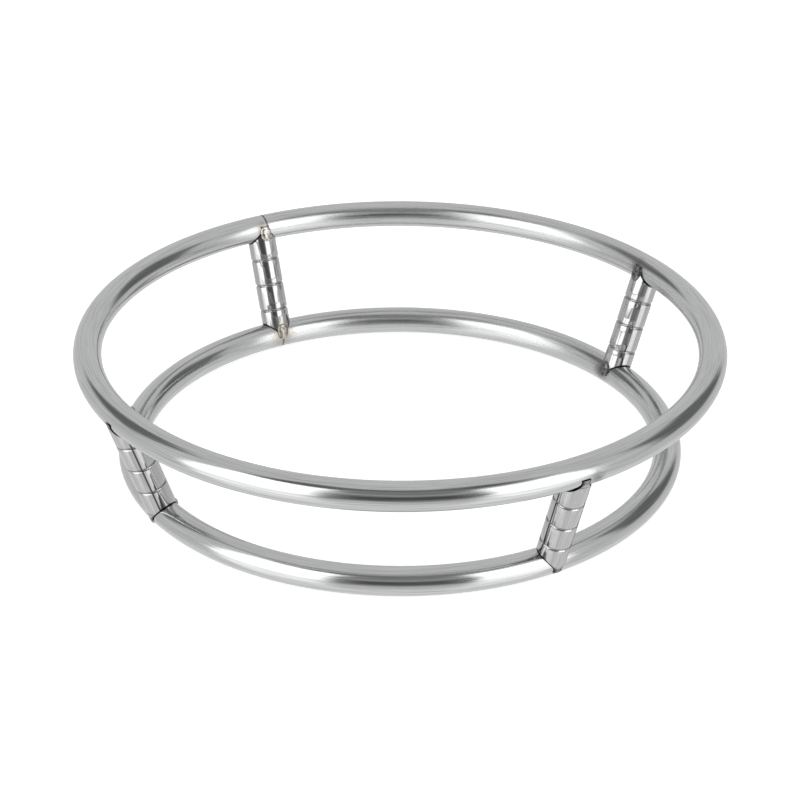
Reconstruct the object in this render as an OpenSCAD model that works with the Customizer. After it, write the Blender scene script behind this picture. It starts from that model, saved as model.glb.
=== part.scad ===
// Pot ring: a wide upper hoop and a narrower lower hoop of bent round tube, held apart by four
// short pillars that lean outwards. Each pillar is a piece of slightly wider tube with three
// rolled grooves. Its ends are coped to straddle the hoops, and low weld beads hold them.
// The origin is the centre of the circle on which the lower hoop stands, and +Z is up.

/* [Hoops] */
// Outside diameter of the upper hoop, which carries the pan
upper_hoop_od = 260; // [240:1:320]
// Outside diameter of the lower hoop, which stands on the hob
lower_hoop_od = 229; // [180:1:250]
// Height from the hob to the top of the upper hoop
overall_h = 56.5; // [48:0.5:90]
// Outside diameter of the tube that the hoops are bent from
tube_d = 11.2; // [9:0.2:14]
// Wall of that tube, and of the pillars
tube_wall = 0.8; // [0.5:0.1:1.5]

/* [Pillars] */
// How much wider the tube of the pillars is than that of the hoops
pillar_extra_d = 1; // [0.8:0.1:1.6]
// Angle of the back right pillar about the centre, as welded by eye
angle_back_right = 45; // [40:0.5:50]
// Angle of the back left pillar
angle_back_left = 133; // [130:0.5:140]
// Angle of the front left pillar
angle_front_left = 226; // [220:0.5:230]
// Angle of the front right pillar
angle_front_right = 314; // [310:0.5:320]
// Clearance between a hoop and the coped end of a pillar
cope_gap = 0.25; // [0.1:0.05:0.3]
// How far the lips of a coped end run past the middle of the hoop
lip_lap = 1.2; // [0.6:0.1:2]
// Depth of the overcut that leaves a crescent open at the top of the front right pillar
overcut_depth = 0.5; // [0.2:0.1:0.6]
// Radius of that overcut
overcut_r = 5; // [4.5:0.1:5.5]
// Direction of the overcut, in degrees below the outward direction
overcut_dir = 70; // [65:1:80]

/* [Rolled grooves] */
// Number of grooves round each pillar
groove_count = 3; // [1:1:3]
// Distance from one groove to the next
groove_pitch = 11.3; // [5:0.1:12]
// How far the row of grooves sits below the middle of a pillar
groove_drop = 1; // [0:0.1:2]
// How far it sits above the middle of the front left pillar instead
groove_rise_front_left = 2; // [0:0.1:2]
// Width of a groove at the surface
groove_w = 1.4; // [0.8:0.1:2.4]
// Depth of a groove
groove_depth = 0.4; // [0.2:0.05:0.6]

/* [Pillar seams] */
// Width of the open line where the rolled strip of a pillar meets
seam_w = 0.3; // [0.1:0.05:0.6]
// Depth of that line
seam_depth = 0.25; // [0.1:0.05:0.4]
// Turn of the seam from the outward side of the front left pillar
seam_front_left = 66; // [30:1:110]
// Turn of the seam from the outward side of the front right pillar
seam_front_right = -87; // [-110:1:-30]
// Turn of the seam from the outward side of the two back pillars
seam_back = 40; // [0:1:70]

/* [Welds] */
// Length of hoop that the butt weld fills
butt_weld_w = 0.8; // [0.4:0.1:2]
// How far the ground butt weld lies below the face of the tube
butt_weld_sink = 0.1; // [0.05:0.05:0.3]
// Distance along the upper hoop from the back left pillar to the butt weld
butt_weld_shift = 1.5; // [0:0.1:4]
// Radius of a weld bead
bead_r = 2; // [1.8:0.1:2.6]
// How far the middle of a bead lies below the face of its pillar
bead_sink = 1.3; // [0.6:0.1:1.4]
// Turn of the extra bead from the outward side of the front right pillar
side_bead_turn = 78; // [60:1:100]

/* [Hidden] */
$fn = 96;
steel = [0.76, 0.77, 0.78];
weld_steel = [0.62, 0.58, 0.52];

// Centre lines of the hoops
tube_r = tube_d / 2;
bore_r = tube_r - tube_wall;
pillar_r = tube_r + pillar_extra_d / 2;
pillar_bore_r = pillar_r - tube_wall;
upper_r = upper_hoop_od / 2 - tube_r;
lower_r = lower_hoop_od / 2 - tube_r;
lower_z = tube_r;
upper_z = overall_h - tube_r;

// A pillar's axis runs from one centre line to the other
rise = upper_z - lower_z;
spread = upper_r - lower_r;
lean = atan2(spread, rise);
pillar_l = norm([spread, rise]);

// A coped end is cut round the hoop, and its lips lap past the hoop's middle on both sides
cope_r = tube_r + cope_gap;
tube_l = pillar_l + 2 * lip_lap;

// The arc of a groove, from its width and depth
groove_r = (pow(groove_w / 2, 2) + pow(groove_depth, 2)) / (2 * groove_depth);
groove_x = pillar_r - groove_depth + groove_r;
groove_low = pillar_l / 2 - groove_pitch * (groove_count - 1) / 2;

// Where the ends of the bent hoops meet
upper_seam = angle_back_left - butt_weld_shift / upper_r * 180 / PI;
lower_seam = angle_back_left;

// Cutting tools run this far past the faces that they cut
over = 1;

// Turn of hoop that a bead is fitted to, and the steps in a full turn of it
stretch_turn = 12;
fine_steps = 720;

// A full ring of round bar on a hoop's centre line
module hoop_bar(ring_r, ring_z, bar_r) {
    translate([0, 0, ring_z])
        rotate_extrude() translate([ring_r, 0]) circle(r = bar_r);
}

// The short stretch of a hoop that a weld bead lies on, drawn with fine steps
module hoop_stretch(ring_r, ring_z, angle) {
    translate([0, 0, ring_z])
        rotate([0, 0, angle - stretch_turn / 2])
            rotate_extrude(angle = stretch_turn, $fn = fine_steps)
                translate([ring_r, 0]) circle(r = tube_r);
}

// The section of the bent tube
module tube_section(ring_r, face_r) {
    translate([ring_r, 0])
        difference() {
            circle(r = face_r);
            circle(r = bore_r);
        }
}

// A hoop bent from one length of tube, open by the width of its butt weld
module bent_hoop(ring_r, ring_z, seam) {
    gap = butt_weld_w / ring_r * 180 / PI;
    translate([0, 0, ring_z])
        rotate([0, 0, seam + gap / 2])
            rotate_extrude(angle = 360 - gap) tube_section(ring_r, tube_r);
}

// The ring of weld metal between the two ends of a hoop, ground a little below the tube
module butt_weld(ring_r, ring_z, seam) {
    gap = butt_weld_w / ring_r * 180 / PI;
    translate([0, 0, ring_z])
        rotate([0, 0, seam - gap / 2])
            rotate_extrude(angle = gap) tube_section(ring_r, tube_r - butt_weld_sink);
}

// Sets a shape drawn along +Z, with its outward side to +X, on a pillar's axis
module on_pillar(angle) {
    rotate([0, 0, angle])
        translate([lower_r, 0, lower_z])
            rotate([0, lean, 0]) children();
}

// Half the section of a pillar: the rolled grooves press the wall in without thinning it
module pillar_section(drop) {
    low = groove_low - drop;
    difference() {
        union() {
            translate([pillar_bore_r, -lip_lap]) square([tube_wall, tube_l]);
            for (i = [0 : groove_count - 1])
                intersection() {
                    translate([groove_x, low + i * groove_pitch])
                        circle(r = groove_r + tube_wall);
                    square([pillar_r, pillar_l]);
                }
        }
        for (i = [0 : groove_count - 1])
            translate([groove_x, low + i * groove_pitch]) circle(r = groove_r);
    }
}

// A grooved tube with both ends coped to the hoops and its seam left as a fine line
module pillar(angle, seam_turn, drop) {
    difference() {
        on_pillar(angle) rotate_extrude() pillar_section(drop);
        on_pillar(angle)
            rotate([0, 0, seam_turn])
                translate([pillar_r - seam_depth, -seam_w / 2, -lip_lap - over])
                    cube([seam_depth + over, seam_w, tube_l + 2 * over]);
        hoop_bar(lower_r, lower_z, cope_r);
        hoop_bar(upper_r, upper_z, cope_r);
    }
}

// The crescent that was cut too deep at one pillar's upper lip
module overcut() {
    reach = cope_r + overcut_depth - overcut_r;
    hoop_bar(
        upper_r + reach * cos(overcut_dir),
        upper_z - reach * sin(overcut_dir),
        overcut_r
    );
}

// A weld bead at one end of a pillar: it laps onto the pillar's face and onto the hoop
module bead(angle, turn, along, ring_r, ring_z) {
    difference() {
        on_pillar(angle)
            rotate([0, 0, turn])
                translate([pillar_r - bead_sink, 0, along]) sphere(r = bead_r);
        hoop_stretch(ring_r, ring_z, angle);
        on_pillar(angle)
            translate([0, 0, -lip_lap])
                cylinder(r = pillar_r, h = tube_l);
    }
}

// The bead on the inner side of a pillar's upper end
module top_bead(angle) {
    color(weld_steel) bead(angle, 180, pillar_l + lip_lap, upper_r, upper_z);
}

// The bead on the inner side of a pillar's foot
module foot_bead(angle) {
    color(weld_steel) bead(angle, 180, -lip_lap, lower_r, lower_z);
}

module upper_hoop() {
    color(steel) bent_hoop(upper_r, upper_z, upper_seam);
}

module lower_hoop() {
    color(steel) bent_hoop(lower_r, lower_z, lower_seam);
}

module upper_butt_weld() {
    color(weld_steel) butt_weld(upper_r, upper_z, upper_seam);
}

module lower_butt_weld() {
    color(weld_steel) butt_weld(lower_r, lower_z, lower_seam);
}

module pillar_back_right() {
    color(steel) pillar(angle_back_right, -seam_back, groove_drop);
}

module pillar_back_left() {
    color(steel) pillar(angle_back_left, seam_back, groove_drop);
}

module pillar_front_left() {
    color(steel) pillar(angle_front_left, seam_front_left, -groove_rise_front_left);
}

module pillar_front_right() {
    color(steel)
        difference() {
            pillar(angle_front_right, seam_front_right, groove_drop);
            overcut();
        }
}

module bead_top_back_right() {
    top_bead(angle_back_right);
}

module bead_top_back_left() {
    top_bead(angle_back_left);
}

module bead_top_front_left() {
    top_bead(angle_front_left);
}

module bead_top_front_right() {
    top_bead(angle_front_right);
}

module bead_foot_back_right() {
    foot_bead(angle_back_right);
}

module bead_foot_back_left() {
    foot_bead(angle_back_left);
}

module bead_foot_front_left() {
    foot_bead(angle_front_left);
}

module bead_foot_front_right() {
    foot_bead(angle_front_right);
}

module bead_side_front_right() {
    color(weld_steel)
        bead(angle_front_right, side_bead_turn, pillar_l - cope_r, upper_r, upper_z);
}

upper_hoop();
lower_hoop();
pillar_back_right();
pillar_back_left();
pillar_front_left();
pillar_front_right();
upper_butt_weld();
lower_butt_weld();
bead_top_back_right();
bead_top_back_left();
bead_top_front_left();
bead_top_front_right();
bead_side_front_right();
bead_foot_back_right();
bead_foot_back_left();
bead_foot_front_left();
bead_foot_front_right();
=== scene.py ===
# %% [markdown]
# A pot ring of bright stainless tube: a wide upper hoop and a narrower lower one, joined by four
# short pillars that lean outwards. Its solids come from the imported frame, in metres, with +Z up
# and the origin under the middle of the lower hoop. This script dresses them: it sets the camera,
# a light tent such as the one a shiny thing is photographed in, the steel itself and the welds.

# %% Load the frame
import math

import bpy
from mathutils import Matrix, Vector


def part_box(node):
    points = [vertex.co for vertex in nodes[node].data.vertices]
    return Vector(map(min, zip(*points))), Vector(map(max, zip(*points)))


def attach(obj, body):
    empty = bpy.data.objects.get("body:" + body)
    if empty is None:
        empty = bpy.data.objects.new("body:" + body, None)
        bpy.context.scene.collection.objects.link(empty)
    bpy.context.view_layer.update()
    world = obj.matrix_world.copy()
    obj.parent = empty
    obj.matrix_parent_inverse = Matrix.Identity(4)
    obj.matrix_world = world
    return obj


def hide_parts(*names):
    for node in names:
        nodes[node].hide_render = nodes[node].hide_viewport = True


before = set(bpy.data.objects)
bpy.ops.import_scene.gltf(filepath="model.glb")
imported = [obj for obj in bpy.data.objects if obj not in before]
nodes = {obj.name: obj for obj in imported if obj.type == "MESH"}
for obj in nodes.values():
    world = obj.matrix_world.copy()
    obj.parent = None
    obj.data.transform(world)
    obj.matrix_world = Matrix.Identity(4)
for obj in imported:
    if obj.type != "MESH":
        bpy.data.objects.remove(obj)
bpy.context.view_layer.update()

# %% [markdown]
# The few sizes that the looks depend on are read back from the solids, so that nothing is fitted
# by hand: each hoop's tube and centre line follow from its box, and a pillar's lean follows from
# the two hoops that it joins.

# %% Measure the hoops
MM = 0.001


def hoop_sizes(name):
    """Centre-line radius, tube radius and height of a hoop, from its box."""
    low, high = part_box(name)
    tube = (high[2] - low[2]) / 2
    outside = max((high[0] - low[0]) / 2, (high[1] - low[1]) / 2)
    return outside - tube, tube, (high[2] + low[2]) / 2


UPPER_R, TUBE_R, UPPER_Z = hoop_sizes("upper_hoop")
LOWER_R, _, LOWER_Z = hoop_sizes("lower_hoop")
LEAN = math.atan2(UPPER_R - LOWER_R, UPPER_Z - LOWER_Z)
PILLAR_L = math.hypot(UPPER_R - LOWER_R, UPPER_Z - LOWER_Z)
print("hoop radii", round(UPPER_R, 5), round(LOWER_R, 5), "tube", round(TUBE_R, 5),
      "pillar", round(PILLAR_L, 5), "lean", round(math.degrees(LEAN), 2))

# %% [markdown]
# Where the pillars stand about +Z is read from their boxes too: the middle of a pillar's box lies
# in the direction in which the pillar stands. A pillar's own frame then turns and leans with it,
# and one function leads from there to the part's frame.

# %% Directions of the pillars
def pillar_turn(name):
    """Angle about +Z at which a pillar stands, from its box."""
    low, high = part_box(name)
    return math.atan2(low[1] + high[1], low[0] + high[0])


def on_pillar(turn, outward, sideways, along):
    """A point in the part's frame, from its place in a pillar's own frame."""
    reach = LOWER_R + outward * math.cos(LEAN) + along * math.sin(LEAN)
    height = LOWER_Z - outward * math.sin(LEAN) + along * math.cos(LEAN)
    side = Vector((-math.sin(turn), math.cos(turn), 0.0)) * sideways
    return Vector((math.cos(turn) * reach, math.sin(turn) * reach, height)) + side


PILLARS = {name: pillar_turn(name) for name in sorted(nodes) if name.startswith("pillar_")}
for name, turn in PILLARS.items():
    print(name, round(math.degrees(turn), 2), "degrees")

# %% [markdown]
# The camera looks down on the ring from the front, a little from the right. A photo of round
# things fixes its camera well: the outlines of two circles give its height, its distance and its
# lens. The values below are that fit. A constraint could aim the camera, but a fit gives turns,
# so its matrix is made from them: it aims at the middle of the upper hoop, tips down a little and
# rolls by a hair.

# %% Camera
CAMERA_DISTANCE = 0.91588
CAMERA_ELEVATION = math.radians(26.65)
CAMERA_TURN = math.radians(13.0)
CAMERA_TIP = math.radians(1.551)
CAMERA_ROLL = math.radians(0.177)
FOCAL_PIXELS = 2287.0
IMAGE_PIXELS = 800
SENSOR_MM = 36.0
NEAREST_SEEN = 0.01
FARTHEST_SEEN = 50.0

target = Vector((0.0, 0.0, UPPER_Z))
back = Vector((
    math.sin(CAMERA_TURN) * math.cos(CAMERA_ELEVATION),
    -math.cos(CAMERA_TURN) * math.cos(CAMERA_ELEVATION),
    math.sin(CAMERA_ELEVATION),
))
camera_data = bpy.data.cameras.new("camera")
camera_data.sensor_width = SENSOR_MM
camera_data.lens = FOCAL_PIXELS / IMAGE_PIXELS * SENSOR_MM
camera_data.clip_start = NEAREST_SEEN
camera_data.clip_end = FARTHEST_SEEN
camera = bpy.data.objects.new("camera", camera_data)
bpy.context.scene.collection.objects.link(camera)
aim = (-back).to_track_quat("-Z", "Y").to_matrix()
tip = Matrix.Rotation(-CAMERA_TIP, 3, "X")
roll = Matrix.Rotation(CAMERA_ROLL, 3, "Z")
place = Matrix.Translation(target + back * CAMERA_DISTANCE)
camera.matrix_world = place @ (aim @ tip @ roll).to_4x4()
bpy.context.scene.camera = camera
bpy.context.scene.view_settings.view_transform = "Standard"
print("lens", round(camera_data.lens, 2), "mm")

# %% [markdown]
# Materials and the tent are built from nodes. A few short helpers keep that readable: each adds
# one node, links what is a socket, sets what is a plain value, and returns what comes out.

# %% Helpers for node trees
def add(tree, kind, **values):
    """Adds a node and sets its properties."""
    made = tree.nodes.new(kind)
    for key, value in values.items():
        setattr(made, key, value)
    return made


def feed(tree, socket, value):
    """Links a socket, or sets it to a plain value."""
    if isinstance(value, bpy.types.NodeSocket):
        tree.links.new(value, socket)
    else:
        socket.default_value = value


def calc(tree, operation, *inputs):
    """A Math node; returns its output."""
    made = add(tree, "ShaderNodeMath", operation=operation)
    for socket, value in zip(made.inputs, inputs):
        feed(tree, socket, value)
    return made.outputs[0]


def ramp(tree, value, start, end, low=0.0, high=1.0):
    """Runs smoothly from low to high as value goes from start to end."""
    made = add(tree, "ShaderNodeMapRange", interpolation_type="SMOOTHSTEP")
    for name, item in (("Value", value), ("From Min", start), ("From Max", end),
                       ("To Min", low), ("To Max", high)):
        feed(tree, made.inputs[name], item)
    return made.outputs["Result"]


def blend(tree, factor, first, second):
    """Mixes two numbers by a factor."""
    made = add(tree, "ShaderNodeMix", data_type="FLOAT")
    for socket, value in zip((made.inputs[0], made.inputs[2], made.inputs[3]),
                             (factor, first, second)):
        feed(tree, socket, value)
    return made.outputs[0]


print("helpers ready")

# %% [markdown]
# What several materials share is put in a node group: it is built once, has named sockets, and
# each material places it with its own values.

# %% Helpers for node groups
NUMBER = "NodeSocketFloat"
VECTOR = "NodeSocketVector"
COLOUR = "NodeSocketColor"


def new_group(name, inputs, outputs, kind="ShaderNodeTree"):
    """An empty node group; its sockets are given as name: type."""
    group = bpy.data.node_groups.new(name, kind)
    for label, socket_type in inputs.items():
        group.interface.new_socket(label, in_out="INPUT", socket_type=socket_type)
    for label, socket_type in outputs.items():
        group.interface.new_socket(label, in_out="OUTPUT", socket_type=socket_type)
    return group, add(group, "NodeGroupInput").outputs, add(group, "NodeGroupOutput").inputs


def use_group(tree, group, values, label=""):
    """Places a node group, feeds its inputs by name, and returns its outputs."""
    made = add(tree, "ShaderNodeGroup", node_tree=group, label=label)
    for name, value in values.items():
        feed(tree, made.inputs[name], value)
    return made.outputs


print("group sockets", NUMBER, VECTOR, COLOUR)

# %% [markdown]
# Bright tube shows its surroundings and hardly anything else, so the surroundings are half of the
# look. They are a light tent: pale grey all round, with a white softbox at the front left and at
# the front right, a darker gap between them for the camera, and a pale table below. Area lamps
# could stand for the softboxes, but steel mirrors their hard edges and their noise. A tent drawn
# in the world from soft-edged patches is smooth and quick. One node group draws a patch from its
# middle, its size and its edges.

# %% The patch group
HALF_TURN = 180.0
PATCH_PLACE = ("Middle", "Half width", "Side edge", "Top", "Top edge", "Bottom", "Bottom edge")


def make_patch_group():
    """A soft-edged patch as a mask over directions, in degrees."""
    inputs = {name: NUMBER for name in ("Azimuth", "Elevation") + PATCH_PLACE}
    group, into, out = new_group("tent_patch", inputs, {"Mask": NUMBER})
    offset = calc(group, "SUBTRACT", into["Azimuth"], into["Middle"])
    away = calc(group, "ABSOLUTE", calc(group, "WRAP", offset, HALF_TURN, -HALF_TURN))
    side = ramp(group, away, into["Half width"],
                calc(group, "ADD", into["Half width"], into["Side edge"]), 1.0, 0.0)
    top = ramp(group, into["Elevation"], into["Top"],
               calc(group, "ADD", into["Top"], into["Top edge"]), 1.0, 0.0)
    bottom = ramp(group, into["Elevation"],
                  calc(group, "SUBTRACT", into["Bottom"], into["Bottom edge"]), into["Bottom"])
    mask = calc(group, "MULTIPLY", calc(group, "MULTIPLY", side, top), bottom)
    feed(group, out["Mask"], mask)
    return group


TENT_PATCH = make_patch_group()
print("patch group with", len(PATCH_PLACE), "sizes")

# %% The tent
TENT_GREY = 0.70
TABLE_FAR = 0.68
TABLE_NEAR = 0.87
# Heights in degrees: over these the table pales towards the ring, and the wall starts.
TABLE_SHADE = (-60.0, -10.0)
TABLE_EDGE = (-6.0, 6.0)
# Each patch: brightness, middle azimuth, half width, side edge, top, its edge, bottom, its edge.
# Azimuths are counted from the camera's side, positive towards the camera's right.
TENT_PATCHES = {
    "gap above the softboxes": (0.16, -4, 66, 16, 72, 5, 57, 4),
    "gap at the front": (0.25, 3, 24, 9, 62, 5, -4, 14),
    "pale line at the front": (0.40, 3, 22, 12, 36, 5, 31, 5),
    "dark foot of the front gap": (0.10, 2, 14, 10, 19, 6, 4, 8),
    "gap at the left": (0.17, -120, 13, 12, 46, 12, 24, 12),
    "gap at the right": (0.18, 115, 17, 12, 34, 12, 6, 12),
    "glow under the left softbox": (1.45, -51, 16, 12, 0, 6, -12, 62),
    "glow under the right softbox": (1.45, 47, 12, 12, 0, 6, -12, 62),
    "left softbox": (2.2, -51, 18, 9, 51, 5, 0, 10),
    "right softbox": (2.2, 48, 13, 9, 44, 5, 0, 10),
}
WHITE = (1.0, 1.0, 1.0, 1.0)


def draw_tent(tree):
    """Brightness of the tent in every direction; returns its socket."""
    direction = add(tree, "ShaderNodeSeparateXYZ")
    feed(tree, direction.inputs[0], add(tree, "ShaderNodeTexCoord").outputs["Generated"])
    x, y, z = direction.outputs
    camera_azimuth = math.degrees(CAMERA_TURN) - HALF_TURN / 2
    turn = calc(tree, "DEGREES", calc(tree, "ARCTAN2", y, x))
    azimuth = calc(tree, "SUBTRACT", turn, camera_azimuth)
    elevation = calc(tree, "DEGREES", calc(tree, "ARCSINE", z))
    table = ramp(tree, elevation, *TABLE_SHADE, TABLE_NEAR, TABLE_FAR)
    level = blend(tree, ramp(tree, elevation, *TABLE_EDGE), table, TENT_GREY)
    for name, (bright, *place_and_size) in TENT_PATCHES.items():
        values = dict(zip(PATCH_PLACE, place_and_size))
        values.update({"Azimuth": azimuth, "Elevation": elevation})
        mask = use_group(tree, TENT_PATCH, values, name)["Mask"]
        level = blend(tree, mask, level, bright)
    return level


print("tent patches", len(TENT_PATCHES))

# %% Light the world
def light_the_world():
    """The tent for reflections and light, and plain white for the camera."""
    world = bpy.data.worlds.new("light_tent")
    bpy.context.scene.world = world
    world.use_nodes = True
    tree = world.node_tree
    tree.nodes.clear()
    tent = add(tree, "ShaderNodeBackground")
    feed(tree, tent.inputs["Color"], draw_tent(tree))
    white = add(tree, "ShaderNodeBackground")
    feed(tree, white.inputs["Color"], WHITE)
    seen = add(tree, "ShaderNodeMixShader")
    feed(tree, seen.inputs[0], add(tree, "ShaderNodeLightPath").outputs["Is Camera Ray"])
    feed(tree, seen.inputs[1], tent.outputs[0])
    feed(tree, seen.inputs[2], white.outputs[0])
    feed(tree, add(tree, "ShaderNodeOutputWorld").inputs["Surface"], seen.outputs[0])


light_the_world()
print("world", bpy.context.scene.world.name)

# %% [markdown]
# The floor is a plain pale sheet that keeps the ring's soft shadow. A brighter tent could whiten
# it, but would burn out the steel too. So the sheet gives part of its white itself, to the camera
# alone, and comes out white where nothing shades it. The steel mirrors the tent's own pale table
# in its place, which has no edge and no noise.

# %% Floor
FLOOR_HALF = 3.0
FLOOR_PALE = (0.80, 0.80, 0.80, 1.0)
FLOOR_GLOW = 0.62


def make_floor_material():
    """A pale sheet that glows a little, for the camera alone."""
    material = bpy.data.materials.new("floor_sheet")
    material.use_nodes = True
    tree = material.node_tree
    tree.nodes.clear()
    sheet = add(tree, "ShaderNodeBsdfDiffuse")
    feed(tree, sheet.inputs["Color"], FLOOR_PALE)
    glow = add(tree, "ShaderNodeEmission")
    camera_ray = add(tree, "ShaderNodeLightPath").outputs["Is Camera Ray"]
    feed(tree, glow.inputs["Strength"], calc(tree, "MULTIPLY", camera_ray, FLOOR_GLOW))
    both = add(tree, "ShaderNodeAddShader")
    feed(tree, both.inputs[0], sheet.outputs[0])
    feed(tree, both.inputs[1], glow.outputs[0])
    feed(tree, add(tree, "ShaderNodeOutputMaterial").inputs["Surface"], both.outputs[0])
    return material


def make_floor():
    """A flat square under the ring."""
    mesh = bpy.data.meshes.new("floor")
    corners = [(-FLOOR_HALF, -FLOOR_HALF, 0), (FLOOR_HALF, -FLOOR_HALF, 0),
               (FLOOR_HALF, FLOOR_HALF, 0), (-FLOOR_HALF, FLOOR_HALF, 0)]
    mesh.from_pydata(corners, [], [(0, 1, 2, 3)])
    floor = bpy.data.objects.new("floor", mesh)
    bpy.context.scene.collection.objects.link(floor)
    floor.visible_glossy = False
    mesh.materials.append(make_floor_material())


make_floor()
print("floor", 2 * FLOOR_HALF, "m square")

# %% [markdown]
# Drawn tube carries fine lines along its length, from the die and from polishing. They are what
# tells steel from chrome. A pattern that follows a bent tube needs coordinates that bend with it:
# the angle round the tube's section and the angle round the hoop. A UV map could hold them, but
# the solids have none. Both come from the Object coordinates by a little trigonometry, so a few
# more helpers work on vectors.

# %% Helpers for vectors
def vector_calc(tree, operation, *inputs):
    """A Vector Math node; returns its output."""
    made = add(tree, "ShaderNodeVectorMath", operation=operation)
    sockets = (made.inputs[0], made.inputs["Scale"] if operation == "SCALE" else made.inputs[1])
    for socket, value in zip(sockets, inputs):
        feed(tree, socket, value)
    return made.outputs["Value" if operation == "DISTANCE" else "Vector"]


def split(tree, vector):
    """The three numbers of a vector."""
    made = add(tree, "ShaderNodeSeparateXYZ")
    feed(tree, made.inputs[0], vector)
    return tuple(made.outputs)


def join(tree, *numbers):
    """A vector of up to three numbers."""
    made = add(tree, "ShaderNodeCombineXYZ")
    for socket, value in zip(made.inputs, numbers):
        feed(tree, socket, value)
    return made.outputs[0]


def diagonal(tree, first, second):
    """Length of the diagonal over two sides."""
    return calc(tree, "SQRT", calc(tree, "ADD", calc(tree, "MULTIPLY", first, first),
                                   calc(tree, "MULTIPLY", second, second)))


print("vector helpers ready")

# %% Helpers for noise and colour
def noise_at(tree, point, scale, detail, **fourth):
    """Smooth noise at a point; settings with a fourth coordinate may follow."""
    made = add(tree, "ShaderNodeTexNoise", noise_dimensions="4D" if fourth else "3D")
    values = {"Vector": point, "Scale": scale, "Detail": detail, **fourth}
    for name, value in values.items():
        feed(tree, made.inputs[name], value)
    return made.outputs["Fac"]


def lay_over(tree, mask, colour, tone):
    """Lays a tone over a colour where the mask is."""
    made = add(tree, "ShaderNodeMix", data_type="RGBA")
    for socket, value in zip((made.inputs[0], made.inputs[6], made.inputs[7]),
                             (mask, colour, tone)):
        feed(tree, socket, value)
    return made.outputs[2]


print("noise and colour helpers ready")

# %% [markdown]
# Each angle is fed to the noise as a point on a circle, so that the pattern closes without a
# seam. The back of the hoops was buffed a little less than the front, which this group gives as
# an added roughness.

# %% Coordinates of a hoop
BACK_STARTS = 0.35
BACK_FULL = 0.95
BACK_DULLER = 0.13


def make_hoop_group():
    """Unit vectors round a hoop's section (in X and Y) and round the hoop (in Z and Y)."""
    group, into, out = new_group(
        "round_a_hoop", {"Point": VECTOR, "Hoop radius": NUMBER, "Hoop height": NUMBER},
        {"Round": VECTOR, "Along": VECTOR, "Duller": NUMBER})
    x, y, z = split(group, into["Point"])
    reach = diagonal(group, x, y)
    section = join(group, calc(group, "SUBTRACT", reach, into["Hoop radius"]),
                   calc(group, "SUBTRACT", z, into["Hoop height"]))
    feed(group, out["Round"], vector_calc(group, "NORMALIZE", section))
    behind = calc(group, "DIVIDE", y, reach)
    feed(group, out["Along"], join(group, 0.0, behind, calc(group, "DIVIDE", x, reach)))
    feed(group, out["Duller"], ramp(group, behind, BACK_STARTS, BACK_FULL, 0.0, BACK_DULLER))
    return group


HOOP_COORDS = make_hoop_group()
print("hoop coordinates in", HOOP_COORDS.name)

# %% [markdown]
# A pillar is straight, so its own frame is two turns and a shift away from the part's frame, and
# its lines run along its axis.

# %% Coordinates of a pillar
CHANGE_PER_METRE = 8.0


def make_pillar_group():
    """Section and length of a leaning pillar, from a point in the part's frame."""
    group, into, out = new_group(
        "along_a_pillar", {"Point": VECTOR, "Turn": NUMBER},
        {"Round": VECTOR, "Along": VECTOR, "Length": NUMBER})
    straight = add(group, "ShaderNodeVectorRotate", rotation_type="Z_AXIS")
    feed(group, straight.inputs["Vector"], into["Point"])
    feed(group, straight.inputs["Angle"], calc(group, "MULTIPLY", into["Turn"], -1.0))
    from_foot = vector_calc(group, "SUBTRACT", straight.outputs[0], (LOWER_R, 0.0, LOWER_Z))
    upright = add(group, "ShaderNodeVectorRotate", rotation_type="Y_AXIS")
    feed(group, upright.inputs["Vector"], from_foot)
    feed(group, upright.inputs["Angle"], -LEAN)
    x, y, length = split(group, upright.outputs[0])
    feed(group, out["Round"], vector_calc(group, "NORMALIZE", join(group, x, y)))
    slow = calc(group, "MULTIPLY", length, CHANGE_PER_METRE)
    feed(group, out["Along"], join(group, 0.0, 0.0, slow))
    feed(group, out["Length"], length)
    return group


PILLAR_COORDS = make_pillar_group()
print("pillar coordinates in", PILLAR_COORDS.name)

# %% [markdown]
# Drawn steel is metal whose grey and polish change across the lines and hardly along them. Two
# noises, stretched along the tube, give that: a fine one for the lines and a broad one for the
# slower change of polish. The deepest lines are thin dark scratches. An anisotropic shader could
# stretch the highlights alike, but it shows no single lines. Hoops and pillars share the group and
# differ in their greys, their polish and the depth of the lines.

# %% Drawn steel
# Each noise: how fast it changes round the section, and how fast along the tube. Its value is
# near 0.5 and seldom leaves 0.3 to 0.7, so the ranges below lie there.
FINE_LINES = (40.0, 6.0)
BROAD_LINES = (8.0, 3.0)
LINE_DETAIL = 3.0
LINE_ROUGHNESS = 0.62
FINE_SHARE = 0.65
BROAD_SHARE = 0.35
GREY_RANGE = (0.36, 0.60)
POLISH_RANGE = (0.35, 0.68)
SCRATCH_RANGE = (0.30, 0.37)
SCRATCH_STRENGTH = 0.75
SCRATCH_GREY = (0.27, 0.27, 0.275, 1.0)


def draw_lines(tree, into, fast, slow):
    """One noise over the section's circle, slow along the tube."""
    along = vector_calc(tree, "SCALE", into["Along"], slow)
    point = vector_calc(tree, "ADD", vector_calc(tree, "SCALE", into["Round"], fast), along)
    _, fourth, _ = split(tree, along)
    return noise_at(tree, point, 1.0, LINE_DETAIL, Roughness=LINE_ROUGHNESS,
                    W=calc(tree, "ADD", fourth, into["Seed"]))


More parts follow.
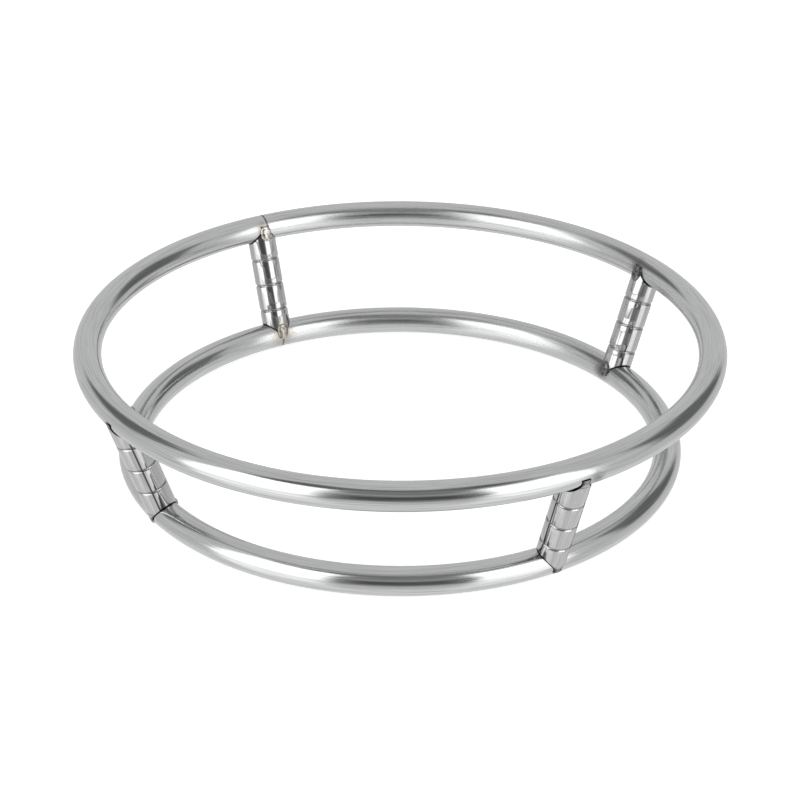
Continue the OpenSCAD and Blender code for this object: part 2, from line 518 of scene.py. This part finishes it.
def make_drawn_group():
    """Colour, roughness and height of drawn steel."""
    group, into, out = new_group(
        "drawn_steel",
        {"Round": VECTOR, "Along": VECTOR, "Seed": NUMBER, "Dark": COLOUR, "Pale": COLOUR,
         "Smooth": NUMBER, "Rough": NUMBER, "Line height": NUMBER},
        {"Colour": COLOUR, "Roughness": NUMBER, "Height": NUMBER})
    fine = draw_lines(group, into, *FINE_LINES)
    broad = draw_lines(group, into, *BROAD_LINES)
    lines = calc(group, "ADD", calc(group, "MULTIPLY", fine, FINE_SHARE),
                 calc(group, "MULTIPLY", broad, BROAD_SHARE))
    greys = lay_over(group, ramp(group, lines, *GREY_RANGE), into["Dark"], into["Pale"])
    scratch = ramp(group, fine, *SCRATCH_RANGE, SCRATCH_STRENGTH, 0.0)
    feed(group, out["Colour"], lay_over(group, scratch, greys, SCRATCH_GREY))
    feed(group, out["Roughness"],
         ramp(group, broad, *POLISH_RANGE, into["Smooth"], into["Rough"]))
    feed(group, out["Height"], calc(group, "MULTIPLY", lines, into["Line height"]))
    return group


DRAWN_STEEL = make_drawn_group()
HOOP_LOOK = {"Dark": (0.50, 0.505, 0.51, 1.0), "Pale": (0.67, 0.675, 0.675, 1.0),
             "Smooth": 0.09, "Rough": 0.17, "Line height": 0.01 * MM}
PILLAR_LOOK = {"Dark": (0.43, 0.435, 0.43, 1.0), "Pale": (0.60, 0.605, 0.60, 1.0),
               "Smooth": 0.07, "Rough": 0.14, "Line height": 0.006 * MM}
print("drawn steel with", len(DRAWN_STEEL.nodes), "nodes")

# %% [markdown]
# A weld heats the steel beside it, which then keeps a straw or grey tint that fades outwards. It
# could be painted by hand, but a mask by distance stays at its weld when a size changes, and
# noise breaks up its edge. One group lays one tint over a colour, and the groups are chained, one
# for each weld that is near.

# %% Heat tint
TINT_GRAIN = 900.0
TINT_DETAIL = 2.0
# The distance from the weld is multiplied by the noise times the first number plus the second.
TINT_BREAK = (0.9, 0.55)


def make_tint_group():
    """Lays a tone over a colour near a weld, and keeps the greater mask."""
    group, into, out = new_group(
        "heat_tint",
        {"Point": VECTOR, "Weld": VECTOR, "Reach": NUMBER, "Colour": COLOUR, "Tone": COLOUR,
         "Other mask": NUMBER},
        {"Colour": COLOUR, "Mask": NUMBER})
    away = vector_calc(group, "DISTANCE", into["Point"], into["Weld"])
    grain = noise_at(group, into["Point"], TINT_GRAIN, TINT_DETAIL)
    far = calc(group, "MULTIPLY", away, calc(group, "MULTIPLY_ADD", grain, *TINT_BREAK))
    mask = ramp(group, far, 0.0, into["Reach"], 1.0, 0.0)
    feed(group, out["Colour"], lay_over(group, mask, into["Colour"], into["Tone"]))
    feed(group, out["Mask"], calc(group, "MAXIMUM", into["Other mask"], mask))
    return group


HEAT_TINT = make_tint_group()
STRAW = (0.40, 0.36, 0.29, 1.0)
SCALE_GREY = (0.16, 0.155, 0.145, 1.0)
# Outward place of the welds on the inner side of a pillar.
INNER = -TUBE_R * 1.1
# Each tint: its pillar, its outward, sideways and lengthwise place there, its reach, its tone.
TINTS = [
    ("pillar_back_left", INNER, 0.0, 0.0, 8 * MM, STRAW),
    ("pillar_back_left", INNER, 1 * MM, PILLAR_L, 5 * MM, STRAW),
    ("pillar_back_right", INNER, 2 * MM, 0.0, 7 * MM, SCALE_GREY),
    ("pillar_back_right", INNER, 1 * MM, PILLAR_L, 6 * MM, SCALE_GREY),
    ("pillar_front_left", 0.0, TUBE_R, 0.0, 6 * MM, STRAW),
    ("pillar_front_right", TUBE_R * 0.6, TUBE_R * 0.9, PILLAR_L, 5 * MM, SCALE_GREY),
]


def tint_over(tree, point, colour, names):
    """Lays the tints of the named pillars over a colour; returns it and the greatest mask."""
    mask = 0.0
    for name, outward, sideways, along, reach, tone in TINTS:
        if name in names:
            weld = on_pillar(PILLARS[name], outward, sideways, along)
            tint = use_group(tree, HEAT_TINT, {
                "Point": point, "Weld": weld, "Reach": reach, "Colour": colour, "Tone": tone,
                "Other mask": mask}, "tint at " + name)
            colour, mask = tint["Colour"], tint["Mask"]
    return colour, mask


print("heat tints", len(TINTS))

# %% [markdown]
# Every steel here is a Principled shader with Metallic at 1. The tinted places are duller, painted
# shade with grime goes over the tints, and the heights of the lines and of anything larger add up
# in one bump.

# %% Finish of the steel
TINTED_ROUGHNESS = 0.42
# Near black: painted shade with grime in the pillars' joints, seam and grooves.
SHADE_AND_GRIME = (0.035, 0.033, 0.03, 1.0)


def start_material(name):
    """A metal, and what its nodes start from."""
    material = bpy.data.materials.new(name)
    material.use_nodes = True
    tree = material.node_tree
    shader = tree.nodes["Principled BSDF"]
    shader.inputs["Metallic"].default_value = 1.0
    point = add(tree, "ShaderNodeTexCoord").outputs["Object"]
    return material, tree, shader, point


def set_bump(tree, shader, height):
    """A height in metres as a bump."""
    bump = add(tree, "ShaderNodeBump")
    bump.inputs["Strength"].default_value = 1.0
    bump.inputs["Distance"].default_value = 1.0
    feed(tree, bump.inputs["Height"], height)
    feed(tree, shader.inputs["Normal"], bump.outputs["Normal"])


def finish_steel(tree, shader, point, steel, tinted, duller=None, shade_and_grime=None, shoulder=None):
    """Feeds the shader from drawn steel, its tints, and what else the piece has."""
    colour, mask = tint_over(tree, point, steel["Colour"], tinted)
    # Painted shade with grime darkens the colour where its mask is.
    if shade_and_grime is not None:
        colour = lay_over(tree, shade_and_grime, colour, SHADE_AND_GRIME)
    roughness, height = steel["Roughness"], steel["Height"]
    if duller is not None:
        roughness = calc(tree, "ADD", roughness, duller)
    if shoulder is not None:
        height = calc(tree, "ADD", height, shoulder)
    feed(tree, shader.inputs["Base Color"], colour)
    feed(tree, shader.inputs["Roughness"], blend(tree, mask, roughness, TINTED_ROUGHNESS))
    set_bump(tree, shader, height)


def dress(name, material):
    """Puts a material on every slot of a CAD node."""
    slots = nodes[name].material_slots
    for slot in slots:
        slot.material = material
    if not slots:
        nodes[name].data.materials.append(material)


print("roughness of tinted steel", TINTED_ROUGHNESS)

# %% [markdown]
# Both hoops are bent from the same drawn tube. They share one look, and each has its own radius,
# its own height and its own seed, so that their lines differ.

# %% Dress the hoops
UPPER_SEED = 1.7
LOWER_SEED = 9.3


def make_hoop_steel(name, radius, height, seed):
    """Drawn steel that follows a hoop."""
    material, tree, shader, point = start_material(name)
    coords = use_group(tree, HOOP_COORDS,
                       {"Point": point, "Hoop radius": radius, "Hoop height": height})
    steel = use_group(tree, DRAWN_STEEL, {
        "Round": coords["Round"], "Along": coords["Along"], "Seed": seed, **HOOP_LOOK})
    finish_steel(tree, shader, point, steel, PILLARS, duller=coords["Duller"])
    return material


dress("upper_hoop", make_hoop_steel("upper_hoop_steel", UPPER_R, UPPER_Z, UPPER_SEED))
dress("lower_hoop", make_hoop_steel("lower_hoop_steel", LOWER_R, LOWER_Z, LOWER_SEED))
print("hoops dressed")

# %% [markdown]
# The fine gaps along the coped joints, in the seam of each pillar and in its grooves are darkened
# with painted shade, the shade that such narrow gaps hold, and with the grime and oxide that no
# polishing wheel reaches there. The joint is where a hoop's skin is near, the seam lies at one
# angle round the pillar, and the grooves come at one pitch. Ambient occlusion could find such
# gaps, but here their places are known, so all three masks are plain distances.
# The rollers that pressed the grooves also drew the wall in a little on both sides of each, which
# breaks up the long highlights. That soft shoulder is a height for the bump.

# %% Painted shade with grime, and shoulders of a pillar
# The pillars' tube is 1 mm wider than the hoops'.
PILLAR_R = TUBE_R + 0.5 * MM
# Painted shade with grime: how far it fades at the joints, the seam and the grooves, and how dark
# it is at the seam and the grooves.
JOINT_RANGE = (0.30 * MM, 0.75 * MM)
SEAM_RANGE = (0.22 * MM, 0.44 * MM)
SEAM_SHADE_AND_GRIME = 0.9
GROOVE_PITCH = 11.3 * MM
GROOVE_RANGE = (0.15 * MM, 0.6 * MM)
GROOVE_SHADE_AND_GRIME = 0.45
SHOULDER_HALF = 3.2 * MM
SHOULDER_DEPTH = 0.16 * MM


def make_shade_and_grime_group():
    """Painted shade with grime in a pillar's gaps, and the height of its rolled shoulders."""
    group, into, out = new_group(
        "shade_and_grime_on_a_pillar",
        {"Point": VECTOR, "Round": VECTOR, "Length": NUMBER, "Middle groove": NUMBER,
         "Seam": VECTOR},
        {"Mask": NUMBER, "Shoulder": NUMBER})
    x, y, z = split(group, into["Point"])
    reach = diagonal(group, x, y)
    offset = calc(group, "SUBTRACT", into["Length"], into["Middle groove"])
    away = calc(group, "ABSOLUTE",
                calc(group, "WRAP", offset, GROOVE_PITCH / 2, -GROOVE_PITCH / 2))
    off_seam = calc(group, "MULTIPLY",
                    vector_calc(group, "DISTANCE", into["Round"], into["Seam"]), PILLAR_R)
    mask = calc(group, "MAXIMUM", ramp(group, off_seam, *SEAM_RANGE, SEAM_SHADE_AND_GRIME, 0.0),
                ramp(group, away, *GROOVE_RANGE, GROOVE_SHADE_AND_GRIME, 0.0))
    # Painted shade with grime along the joints, where a hoop's skin is near.
    for radius, height in ((UPPER_R, UPPER_Z), (LOWER_R, LOWER_Z)):
        from_middle = diagonal(group, calc(group, "SUBTRACT", reach, radius),
                               calc(group, "SUBTRACT", z, height))
        joint = ramp(group, calc(group, "SUBTRACT", from_middle, TUBE_R), *JOINT_RANGE, 1.0, 0.0)
        mask = calc(group, "MAXIMUM", mask, joint)
    feed(group, out["Mask"], mask)
    feed(group, out["Shoulder"], ramp(group, away, 0.0, SHOULDER_HALF, -SHOULDER_DEPTH, 0.0))
    return group


PILLAR_SHADE_AND_GRIME = make_shade_and_grime_group()
print("pillar grime with", len(PILLAR_SHADE_AND_GRIME.nodes), "nodes")

# %% [markdown]
# Each pillar was set with its open seam at another turn, and the front left one was cut with its
# grooves higher up. So each has its own steel, made from the same groups with its own values.

# %% Dress the pillars
# Where each seam lies, in degrees round the pillar from its outer side.
SEAM_TURNS = {"pillar_front_left": 66, "pillar_front_right": -87,
              "pillar_back_left": 40, "pillar_back_right": -40}
# How far above the middle of its pillar the middle groove lies.
GROOVE_RISE = {name: -1 * MM for name in PILLARS}
GROOVE_RISE["pillar_front_left"] = 2 * MM
SEED_STEP = 3.1


def make_pillar_steel(name, seed):
    """Drawn steel that follows a pillar, with its painted shade and grime, and its shoulders."""
    material, tree, shader, point = start_material(name + "_steel")
    coords = use_group(tree, PILLAR_COORDS, {"Point": point, "Turn": PILLARS[name]})
    steel = use_group(tree, DRAWN_STEEL, {
        "Round": coords["Round"], "Along": coords["Along"], "Seed": seed, **PILLAR_LOOK})
    turn = math.radians(SEAM_TURNS[name])
    # Its mask darkens the pillar's joints, seam and grooves with painted shade and grime.
    shade_and_grime = use_group(tree, PILLAR_SHADE_AND_GRIME, {
        "Point": point, "Round": coords["Round"], "Length": coords["Length"],
        "Middle groove": PILLAR_L / 2 + GROOVE_RISE[name],
        "Seam": (math.cos(turn), math.sin(turn), 0.0)})
    finish_steel(tree, shader, point, steel, [name], shade_and_grime=shade_and_grime["Mask"],
                 shoulder=shade_and_grime["Shoulder"])
    return material


for count, name in enumerate(PILLARS):
    dress(name, make_pillar_steel(name, SEED_STEP * count))
print("pillars dressed", len(PILLARS))

# %% [markdown]
# The butt weld of each hoop was ground flush and left duller and darker than the tube. The other
# welds kept the skin that they froze with: fine grain, and a bright, straw or sooty colour. One
# group with two greys, a roughness and a grain makes all four.

# %% Weld metal
WELD_DETAIL = 3.0
WELD_COLOUR_RANGE = (0.35, 0.65)
WELD_POLISH_RANGE = (0.3, 0.7)
WELD_DULLER = 0.12


def make_weld_group():
    """Colour, roughness and height of weld metal."""
    group, into, out = new_group(
        "weld_metal",
        {"Point": VECTOR, "Dark": COLOUR, "Pale": COLOUR, "Roughness": NUMBER, "Grain": NUMBER,
         "Grain height": NUMBER},
        {"Colour": COLOUR, "Roughness": NUMBER, "Height": NUMBER})
    grain = noise_at(group, into["Point"], into["Grain"], WELD_DETAIL)
    feed(group, out["Colour"],
         lay_over(group, ramp(group, grain, *WELD_COLOUR_RANGE), into["Dark"], into["Pale"]))
    duller = calc(group, "ADD", into["Roughness"], WELD_DULLER)
    feed(group, out["Roughness"],
         ramp(group, grain, *WELD_POLISH_RANGE, duller, into["Roughness"]))
    feed(group, out["Height"], calc(group, "MULTIPLY", grain, into["Grain height"]))
    return group


WELD_METAL = make_weld_group()
GROUND = {"Grain": 1500.0, "Grain height": 0.03 * MM}
RIPPLED = {"Grain": 700.0, "Grain height": 0.2 * MM}
WELD_LOOKS = {
    "ground_butt_weld": {"Dark": (0.13, 0.125, 0.12, 1.0), "Pale": (0.30, 0.29, 0.28, 1.0),
                         "Roughness": 0.35, **GROUND},
    "bright_weld_puddle": {"Dark": (0.34, 0.31, 0.26, 1.0), "Pale": (0.80, 0.79, 0.75, 1.0),
                           "Roughness": 0.22, **RIPPLED},
    "straw_weld_puddle": {"Dark": (0.30, 0.27, 0.22, 1.0), "Pale": (0.58, 0.55, 0.49, 1.0),
                          "Roughness": 0.34, **RIPPLED},
    "sooty_weld_puddle": {"Dark": (0.08, 0.08, 0.075, 1.0), "Pale": (0.24, 0.24, 0.23, 1.0),
                          "Roughness": 0.36, **RIPPLED},
}


def make_weld_steel(name, look):
    """A material of weld metal."""
    material, tree, shader, point = start_material(name)
    metal = use_group(tree, WELD_METAL, {"Point": point, **look})
    feed(tree, shader.inputs["Base Color"], metal["Colour"])
    feed(tree, shader.inputs["Roughness"], metal["Roughness"])
    set_bump(tree, shader, metal["Height"])
    return material


WELD_STEELS = {name: make_weld_steel(name, look) for name, look in WELD_LOOKS.items()}
for name in nodes:
    if name.endswith("butt_weld"):
        dress(name, WELD_STEELS["ground_butt_weld"])
    elif name.startswith("bead_"):
        dress(name, WELD_STEELS["straw_weld_puddle"])
print("weld metals", len(WELD_STEELS))

# %% [markdown]
# Each of those other welds is a puddle, flatter than it is wide, whose skin carries ripples from
# the moving torch. One could be sculpted, but nine of one kind are work for Geometry Nodes: a tree
# makes a ball, squeezes it to three half sizes, waves its outer skin, and sets it on the face of
# a pillar, so that it runs over the joint. Its named inputs say which puddle it is.

# %% Tree of a weld puddle
BALL_STEPS = 5
RIPPLE_BOW = 0.35
WOBBLE_SIDEWAYS = 900.0
WOBBLE_LENGTHWISE = 400.0


def swell_skin(tree, into, unit, y, z):
    """By how much a point of the skin is pushed out: bowed ripples and a slow wobble."""
    bowed = calc(tree, "MULTIPLY_ADD", calc(tree, "ABSOLUTE", y), RIPPLE_BOW, z)
    waves = calc(tree, "DIVIDE", math.tau, into["Ripple pitch"])
    ripple = calc(tree, "COSINE", calc(tree, "MULTIPLY", bowed, waves))
    slow = calc(tree, "MULTIPLY_ADD", y, WOBBLE_SIDEWAYS,
                calc(tree, "MULTIPLY_ADD", z, WOBBLE_LENGTHWISE, into["Phase"]))
    wobble = calc(tree, "MULTIPLY", calc(tree, "SINE", slow), into["Wobble height"])
    height = calc(tree, "MULTIPLY_ADD", ripple, into["Ripple height"], wobble)
    half_out = split(tree, into["Half sizes"])[0]
    outer_side = calc(tree, "MAXIMUM", split(tree, unit)[0], 0.0)
    return calc(tree, "MULTIPLY_ADD", calc(tree, "DIVIDE", height, half_out), outer_side, 1.0)


def make_puddle_tree():
    """A ball squeezed, rippled and set in place."""
    tree, into, out = new_group(
        "weld_puddle",
        {"Half sizes": VECTOR, "Middle": VECTOR, "Face": VECTOR, "Edge": VECTOR,
         "Lengthwise": VECTOR, "Ripple pitch": NUMBER, "Ripple height": NUMBER,
         "Wobble height": NUMBER, "Phase": NUMBER, "Steel": "NodeSocketMaterial"},
        {"Puddle": "NodeSocketGeometry"}, "GeometryNodeTree")
    ball = add(tree, "GeometryNodeMeshIcoSphere")
    feed(tree, ball.inputs["Radius"], 1.0)
    feed(tree, ball.inputs["Subdivisions"], BALL_STEPS)
    unit = add(tree, "GeometryNodeInputPosition").outputs[0]
    x, y, z = split(tree, vector_calc(tree, "MULTIPLY", unit, into["Half sizes"]))
    pushed = calc(tree, "MULTIPLY", x, swell_skin(tree, into, unit, y, z))
    place = into["Middle"]
    for direction, far in (("Face", pushed), ("Edge", y), ("Lengthwise", z)):
        step = vector_calc(tree, "SCALE", into[direction], far)
        place = vector_calc(tree, "ADD", place, step)
    shape = add(tree, "GeometryNodeSetPosition")
    feed(tree, shape.inputs["Geometry"], ball.outputs["Mesh"])
    feed(tree, shape.inputs["Position"], place)
    smooth = add(tree, "GeometryNodeSetShadeSmooth")
    feed(tree, smooth.inputs["Geometry"], shape.outputs[0])
    real = add(tree, "GeometryNodeRealizeInstances")
    feed(tree, real.inputs[0], smooth.outputs[0])
    steel = add(tree, "GeometryNodeSetMaterial")
    feed(tree, steel.inputs["Geometry"], real.outputs[0])
    feed(tree, steel.inputs["Material"], into["Steel"])
    feed(tree, out["Puddle"], steel.outputs[0])
    return tree


WELD_PUDDLE = make_puddle_tree()
print("puddle tree with", len(WELD_PUDDLE.nodes), "nodes")

# %% [markdown]
# The tree runs as a modifier on an empty mesh, and what grows is kept as a plain mesh, because
# only that can ride and be exported. The phase moves the wobble on from pillar to pillar, so that
# one pillar's puddles differ from the next one's.

# %% Grow a weld puddle
SKIN = {"Ripple pitch": 0.95 * MM, "Ripple height": 0.07 * MM, "Wobble height": 0.16 * MM}
PUDDLE_SINK = 0.25 * MM
PHASE_PER_TURN = 7.0


def grow_puddle(name, pillar, turn, along, half_sizes, steel):
    """A puddle as a plain mesh; half sizes are outward, sideways and lengthwise."""
    stand = PILLARS[pillar]
    foot = on_pillar(stand, 0.0, 0.0, 0.0)
    outward, sideways, lengthwise = (
        on_pillar(stand, *step) - foot for step in ((1, 0, 0), (0, 1, 0), (0, 0, 1)))
    face = outward * math.cos(turn) + sideways * math.sin(turn)
    values = {
        "Half sizes": half_sizes, "Face": face, "Lengthwise": lengthwise,
        "Edge": sideways * math.cos(turn) - outward * math.sin(turn),
        "Middle": foot + face * (PILLAR_R - PUDDLE_SINK) + lengthwise * along,
        "Phase": PHASE_PER_TURN * stand, "Steel": steel, **SKIN}
    start = bpy.data.meshes.new(name)
    puddle = bpy.data.objects.new(name, start)
    bpy.context.scene.collection.objects.link(puddle)
    modifier = puddle.modifiers.new("weld_puddle", "NODES")
    modifier.node_group = WELD_PUDDLE
    for item in WELD_PUDDLE.interface.items_tree:
        if item.in_out == "INPUT":
            modifier[item.identifier] = values[item.name]
    grown = puddle.evaluated_get(bpy.context.evaluated_depsgraph_get())
    mesh = bpy.data.meshes.new_from_object(grown)
    if mesh.materials[0] is None:  # the ball's own slot, which is empty
        mesh.materials.pop(index=0)
    puddle.modifiers.remove(modifier)
    puddle.data = mesh
    bpy.data.meshes.remove(start)
    mesh.name = name
    return puddle


print("puddles sink", PUDDLE_SINK, "m into their pillars")

# %% [markdown]
# One tack lies on the inner side of each pillar end, and one more at the side of the front right
# pillar. The back ones are large and plain to see, and the front ones are small. Each puddle
# stands for the bead that the solids have there.

# %% Weld puddles
BACK_TOP = PILLAR_L - 2.2 * MM
FRONT_TOP = PILLAR_L - 3.2 * MM
SIDE = PILLAR_L - 5.0 * MM
BACK_FOOT = 1.6 * MM
FRONT_FOOT = 1.0 * MM
TACK = (1.25 * MM, 2.5 * MM, 3.5 * MM)
SMALL_TACK = (1.1 * MM, 2.3 * MM, 2.8 * MM)
FLAT_TACK = (0.7 * MM, 1.7 * MM, 2.0 * MM)
SIDE_TACK = (0.9 * MM, 1.8 * MM, 2.2 * MM)
# Each puddle: where its bead is, degrees from the pillar's outer side, its place along the
# pillar, half sizes and skin.
PUDDLES = [
    ("top_back_left", 180, BACK_TOP, TACK, "bright"),
    ("top_back_right", 180, BACK_TOP, TACK, "sooty"),
    ("top_front_left", 180, FRONT_TOP, SMALL_TACK, "straw"),
    ("top_front_right", 180, FRONT_TOP, SMALL_TACK, "straw"),
    ("foot_back_left", 180, BACK_FOOT, TACK, "straw"),
    ("foot_back_right", 180, BACK_FOOT, TACK, "sooty"),
    ("foot_front_left", 180, FRONT_FOOT, FLAT_TACK, "straw"),
    ("foot_front_right", 180, FRONT_FOOT, FLAT_TACK, "straw"),
    ("side_front_right", 78, SIDE, SIDE_TACK, "sooty"),
]
for where, degrees, along, half_sizes, skin in PUDDLES:
    _, _, corner = where.partition("_")
    puddle = grow_puddle("puddle_" + where, "pillar_" + corner, math.radians(degrees), along,
                         half_sizes, WELD_STEELS[skin + "_weld_puddle"])
    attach(puddle, "root")
    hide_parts("bead_" + where)
print("weld puddles", len(PUDDLES), "of", len(puddle.data.polygons), "faces")
